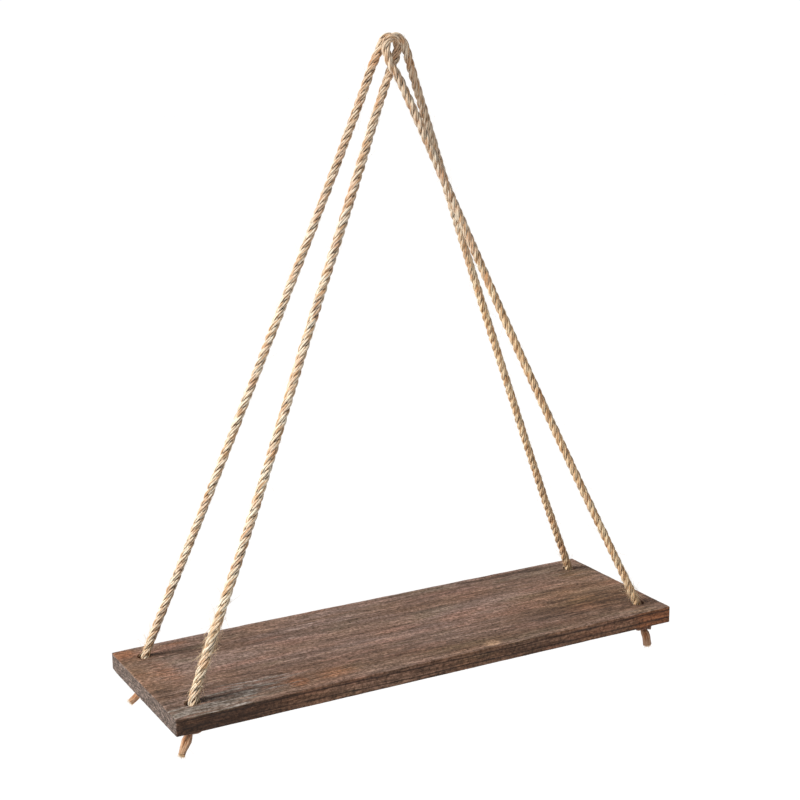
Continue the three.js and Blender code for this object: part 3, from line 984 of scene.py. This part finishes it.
# %% [markdown]
# ## Worn patches and dark lines
#
# A worn patch of stain has no clean border: it breaks up along the grain, where the hard lines keep their
# colour. A soft round brush would look painted on. Here each patch is added to the grain's own pattern
# before it is cut off at a level, so its border follows the grain.

# %% Patches, most of all broken up at their borders


def streaky(share, edge, break_up):
    """A patch that breaks up along the grain, most of all at its border. Where there is no patch, there is
    none of its colour."""
    grain = sums(wood, "SUBTRACT", sums(wood, "ADD", streaks, swirls), 1.0)
    broken = sums(wood, "ADD", share, sums(wood, "MULTIPLY", grain, break_up))
    return sums(wood, "MULTIPLY", spread(wood, broken, edge, edge + 0.6), spread(wood, share, 0.0, 0.3))


weathered = blended(wood, spread(wood, swirls, 0.42, 0.60), colour(80, 71, 62), colour(158, 149, 140))
for share, edge, break_up, strength, patch_colour in (
    (reddened, 0.15, 0.6, 0.6, colour(148, 94, 60)),
    # Darker stain, and the painted shadow of the front left rope beside its hole.
    (darkened_and_shadowed, 0.15, 2.2, 0.75, colour(52, 37, 26)),
    (greyed, 0.25, 1.8, 0.75, weathered),
    (pale_here, 0.2, 0.9, 0.7, colour(186, 150, 120)),
):
    shown = sums(wood, "MULTIPLY", streaky(share, edge, break_up), strength)
    tone = blended(wood, shown, tone, patch_colour)
print("with the patches:", len(wood.node_tree.nodes), "nodes")

# %% Dark lines on the front face, and the sawn ends
bent_height = add(wood, "SeparateXYZ", {0: bent}).outputs[2]


def dark_line(below_top, width):
    """A dark line along the grain, this many mm below the top face, and this many mm wide. The grain drifts
    up by half of GRAIN_DRIFT on average, which is taken off again."""
    away = sums(wood, "ADD", bent_height, (below_top - BOARD_TOP - GRAIN_DRIFT / 2) * MM)
    return spread(wood, sums(wood, "ABSOLUTE", away, 0.0), 0.2 * width * MM, 0.6 * width * MM, 1.0, 0.0)


upper_line = dark_line(below_top=3.3, width=1.6)
lower_line = dark_line(below_top=10.0, width=1.4)
front_lines = sums(wood, "MAXIMUM", upper_line, lower_line)
front_lines = sums(wood, "MULTIPLY", front_lines, sums(wood, "MULTIPLY", front_here, 0.7))
tone = blended(wood, front_lines, tone, colour(40, 26, 18))
tone = dyed(wood, front_here, tone, colour(255, 236, 214))
slanted = add(wood, "Mapping", {"Vector": place, "Rotation": (0.6, 0, 0), "Scale": (300, 200, 900)})
speckle = cloudy(wood, slanted.outputs[0], detail=3)
sawn_end = blended(wood, spread(wood, speckle, 0.36, 0.64), colour(38, 29, 25), colour(114, 98, 88))
tone = blended(wood, sums(wood, "MULTIPLY", end_here, 0.9), tone, sawn_end)
print("with the front and the ends:", len(wood.node_tree.nodes), "nodes")

# %% Fine grain: each noise makes the tone darker and warmer, or lighter and greyer, by its own swing
tone = blended(wood, sums(wood, "MULTIPLY", late_wood, 0.22), tone, colour(56, 38, 28))
for noise, swing in ((lines, 0.18), (streaks, 0.22), (mottle, 0.66), (hairlines, 0.5)):
    darker = (1 - 0.94 * swing, 1 - swing, 1 - 1.08 * swing, 1)
    lighter = (1 + 0.92 * swing, 1 + swing, 1 + 1.10 * swing, 1)
    tone = dyed(wood, 1.0, tone, blended(wood, spread(wood, noise, 0.30, 0.70), darker, lighter))
tone = blended(wood, spread(wood, flecks, 0.60, 0.74, 0.0, 0.5), tone, colour(50, 34, 26))
print("with the fine grain:", len(wood.node_tree.nodes), "nodes")

# %% The wood's surface
relief = sums(wood, "ADD", streaks, sums(wood, "MULTIPLY", hairlines, 0.7))
relief = sums(wood, "ADD", relief, sums(wood, "MULTIPLY", mottle, 0.6))
relief = sums(wood, "SUBTRACT", relief, sums(wood, "MULTIPLY", flecks, 0.5))
wood_bump = add(wood, "Bump", {"Strength": 0.8, "Distance": 0.0005, "Height": relief}).outputs[0]
wood_links = wood.node_tree.links
wood_links.new(tone, wood_shader.inputs["Base Color"])
wood_links.new(wood_bump, wood_shader.inputs["Normal"])
wood_links.new(spread(wood, streaks, 0.3, 0.7, 0.62, 0.82), wood_shader.inputs["Roughness"])
wood_shader.inputs["Specular IOR Level"].default_value = 0.3
plank.data.materials.append(wood)
print("stained wood on", plank.name)

# %% [markdown]
# ## Floor and light
#
# A product picture is taken in a white room with one large lamp. The room could be modelled, but a white
# floor far below and a white sky do the same with less. The sky gives less light from overhead and from
# the right and the front, as a studio with its lamp on the left does, so the shelf's front and the right
# sides of the ropes are darker. Seen directly it is plain white all round. One broad sun on the left
# makes the lit sides.

# %% Floor
FLOOR_Z = -1700.0
FLOOR_HALF = 30000.0
floor_corners = np.array([[-1, -1, 0], [1, -1, 0], [1, 1, 0], [-1, 1, 0]]) * FLOOR_HALF + [0, 0, FLOOR_Z]
floor = make_mesh("floor", floor_corners, np.array([[0, 1, 2, 3]]), np.empty((0, 3), int))
floor_white, floor_shader = new_material("white floor")
floor_shader.inputs["Base Color"].default_value = (0.88, 0.885, 0.90, 1)
floor_shader.inputs["Roughness"].default_value = 0.95
floor.data.materials.append(floor_white)
print("floor", -FLOOR_Z, "mm below the nail")

# %% Sky
SKY_SEEN = 1.04
world = bpy.data.worlds.new("white sky")
bpy.context.scene.world = world
world.use_nodes = True
sky = world.node_tree.nodes["Background"]
sky.inputs["Color"].default_value = (1.0, 1.0, 1.0, 1)
direction = add(world, "TexCoord").outputs["Generated"]


def sky_share(toward, low, high, at_low, at_high):
    """A share of the sky's brightness that changes with how far a direction leans towards a given one."""
    lean = add(world, "VectorMath", {0: direction, 1: toward}, operation="DOT_PRODUCT").outputs["Value"]
    return spread(world, lean, low, high, at_low, at_high)


overhead = sky_share((0, 0, 1), 0.03, 0.30, 1.04, 0.36)
lamp_side = sky_share((-0.88, 0.48, 0), -0.72, -0.28, 0.14, 1.0)
sky_light = sums(world, "MULTIPLY", overhead, lamp_side)
seen = add(world, "LightPath").outputs["Is Camera Ray"]
strength = add(world, "Mix", {"Factor": seen, "A": sky_light, "B": SKY_SEEN}).outputs[0]
world.node_tree.links.new(strength, sky.inputs["Strength"])
print("sky of", len(world.node_tree.nodes), "nodes")

# %% Sun
SUN_STRENGTH = 4.5
SUN_ACROSS = np.radians(24)
sun = bpy.data.objects.new("sun", bpy.data.lights.new("sun", "SUN"))
sun.data.energy = SUN_STRENGTH
sun.data.angle = SUN_ACROSS
sun.data.color = (1.0, 0.985, 0.955)
towards_sun = unit(np.array([-1.0, 0.12, 0.78]))
side = unit(np.cross([0, 0, 1.0], towards_sun))
sun_matrix = np.eye(4)
sun_matrix[:3, :3] = np.column_stack([side, np.cross(towards_sun, side), towards_sun])
sun.matrix_world = Matrix(sun_matrix.tolist())
bpy.context.scene.collection.objects.link(sun)
bpy.context.scene.view_settings.view_transform = "Standard"
print("sun towards", np.round(towards_sun, 2))
